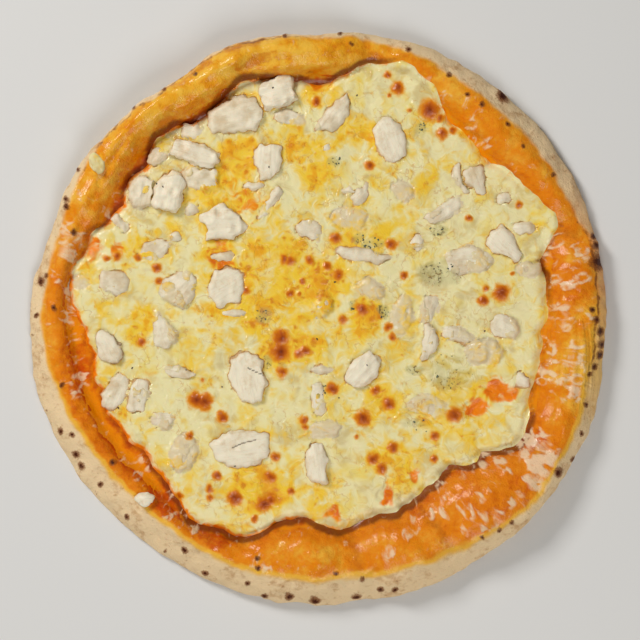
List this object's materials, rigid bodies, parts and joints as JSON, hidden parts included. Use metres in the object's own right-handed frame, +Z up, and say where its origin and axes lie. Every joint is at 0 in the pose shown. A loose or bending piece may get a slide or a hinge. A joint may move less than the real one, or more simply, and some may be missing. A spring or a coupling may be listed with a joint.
{
  "type": "buffalo chicken pizza",
  "caption": "Whole round baked pizza with a wide uneven raised rim, orange sauce, a sheet of melted cheese, and slices and chunks of cooked chicken set in the cheese.",
  "frame": {"origin": "middle of the flat underside, at the centre of the outline's box", "axes": "+Z up, out of the topping side; +Y the far side of the pizza as the picture shows it, +X its right"},
  "size_m": [0.3192, 0.3174, 0.0243],
  "materials": {
    "crust": "baked bread: golden to orange, floury outside, dark blisters, glazed with orange sauce on its inner side",
    "sauce": "thin orange-red pepper sauce, oily gloss",
    "cheese": "melted cheese: pale cream pools, golden oily areas, small brown baked spots",
    "chicken": "cooked chicken breast: off-white, fibrous, a little moist"
  },
  "bodies": {
    "root": {"crust": "crust", "sauce": "sauce", "cheese": "cheese", "cheese_dab": "cheese", "chicken_01": "chicken", "chicken_02": "chicken", "chicken_03": "chicken", "chicken_04": "chicken", "chicken_05": "chicken", "chicken_06": "chicken", "chicken_07": "chicken", "chicken_08": "chicken", "chicken_09": "chicken", "chicken_10": "chicken", "chicken_11": "chicken", "chicken_12": "chicken", "chicken_13": "chicken", "chicken_14": "chicken", "chicken_15": "chicken", "chicken_16": "chicken", "chicken_17": "chicken", "chicken_18": "chicken", "chicken_19": "chicken", "chicken_20": "chicken", "chicken_21": "chicken", "chicken_22": "chicken", "chicken_23": "chicken", "chicken_24": "chicken", "chicken_25": "chicken", "chicken_26": "chicken", "chicken_27": "chicken", "chicken_28": "chicken", "chicken_29": "chicken", "chicken_30": "chicken", "chicken_31": "chicken", "chicken_32": "chicken", "chicken_33": "chicken", "chicken_34": "chicken", "chicken_35": "chicken", "chicken_36": "chicken", "chicken_37": "chicken", "chicken_38": "chicken", "chicken_39": "chicken", "chicken_40": "chicken", "chicken_41": "chicken", "chicken_42": "chicken", "chicken_43": "chicken", "chicken_44": "chicken", "chicken_45": "chicken", "chicken_46": "chicken", "chicken_47": "chicken", "chicken_48": "chicken", "chicken_49": "chicken", "chicken_50": "chicken", "chicken_51": "chicken", "chicken_52": "chicken", "chicken_53": "chicken", "chicken_54": "chicken", "chicken_on_rim": "chicken"}
  },
  "joints": []
}
